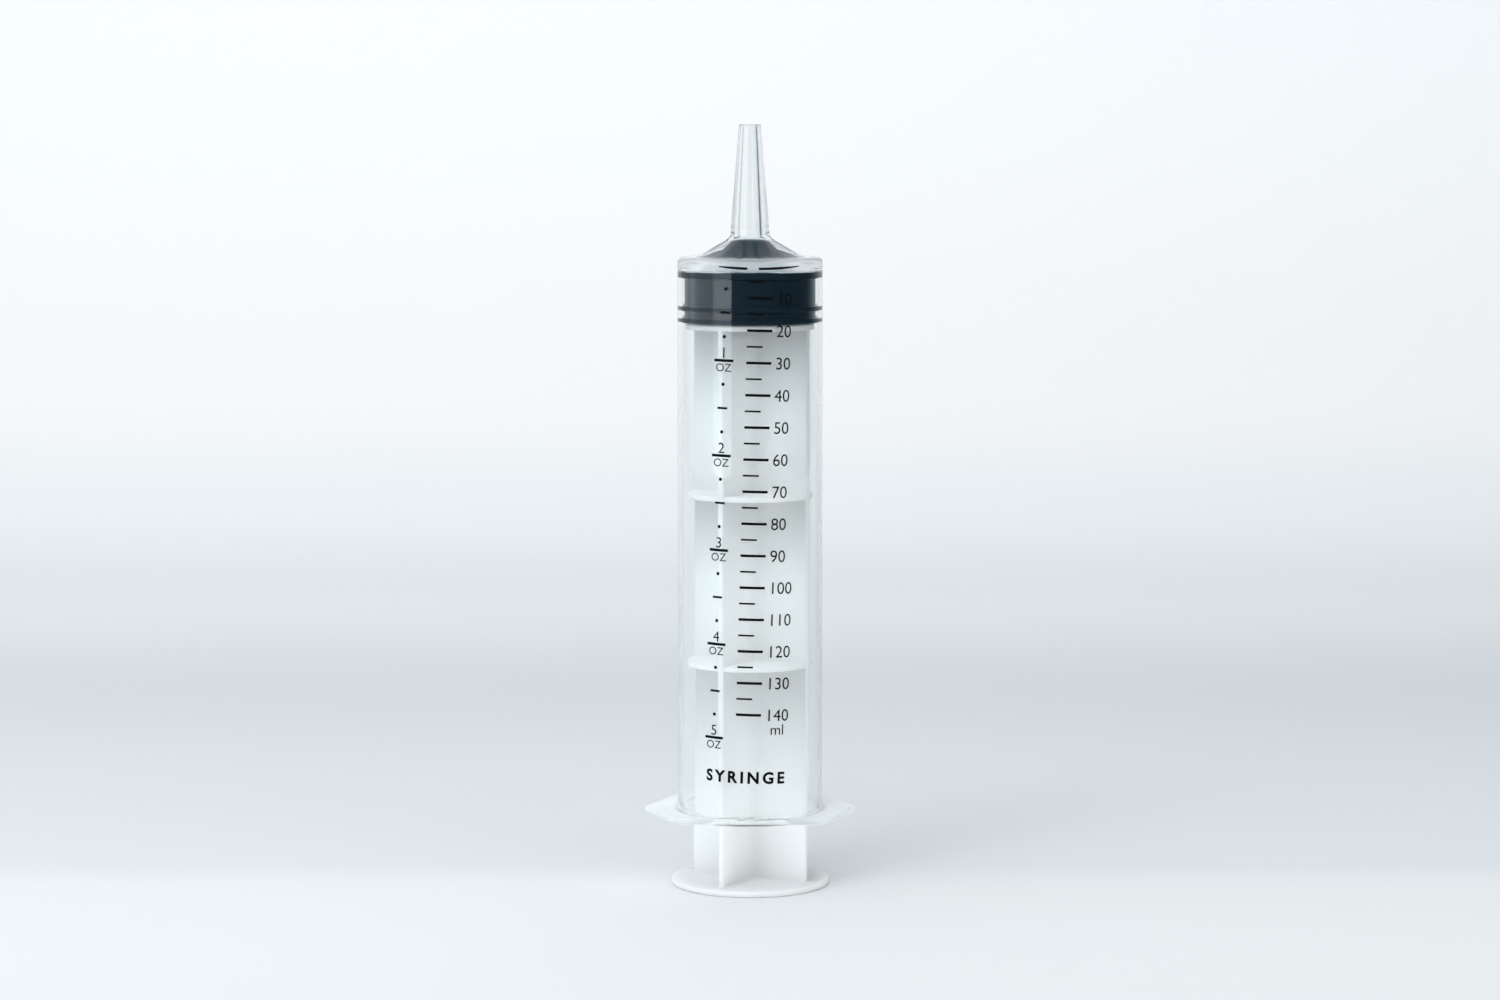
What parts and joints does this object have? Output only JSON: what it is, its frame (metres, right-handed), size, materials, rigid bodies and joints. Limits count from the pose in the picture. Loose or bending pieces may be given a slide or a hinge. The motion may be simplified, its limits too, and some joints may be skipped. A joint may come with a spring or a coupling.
{
  "type": "piston syringe",
  "caption": "Large catheter-tip piston syringe for marinade or fluid, with a winged finger flange, a finned plunger rod and a ringed rubber stopper.",
  "frame": {"origin": "centre of the thumb disc's underside, on the surface that the syringe stands on", "axes": "+Z along the syringe's axis towards the tip, +X along the long way of the finger flange; the printed scale faces -Y"},
  "size_m": [0.059, 0.0446, 0.2132],
  "materials": {
    "clear_plastic": "clear polypropylene, slightly hazy, smooth gloss",
    "milky_plastic": "natural polypropylene, milky and translucent, satin",
    "dark_rubber": "moulded black rubber, lubricated, soft gloss",
    "scale_ink": "printed black ink"
  },
  "bodies": {
    "rod": {"plunger_rod": "milky_plastic"},
    "stopper": {"stopper": "dark_rubber"},
    "barrel": {"barrel": "clear_plastic"}
  },
  "joints": [
    {"name": "stopper_turn", "type": "hinge", "parent": "rod", "child": "stopper", "pos_m": [0, 0, 0.165], "axis": [0, 0, 1], "continuous": true},
    {"name": "barrel_slide", "type": "slide", "parent": "stopper", "child": "barrel", "axis": [0, 0, 1], "range_m": [0, 0.13]}
  ]
}
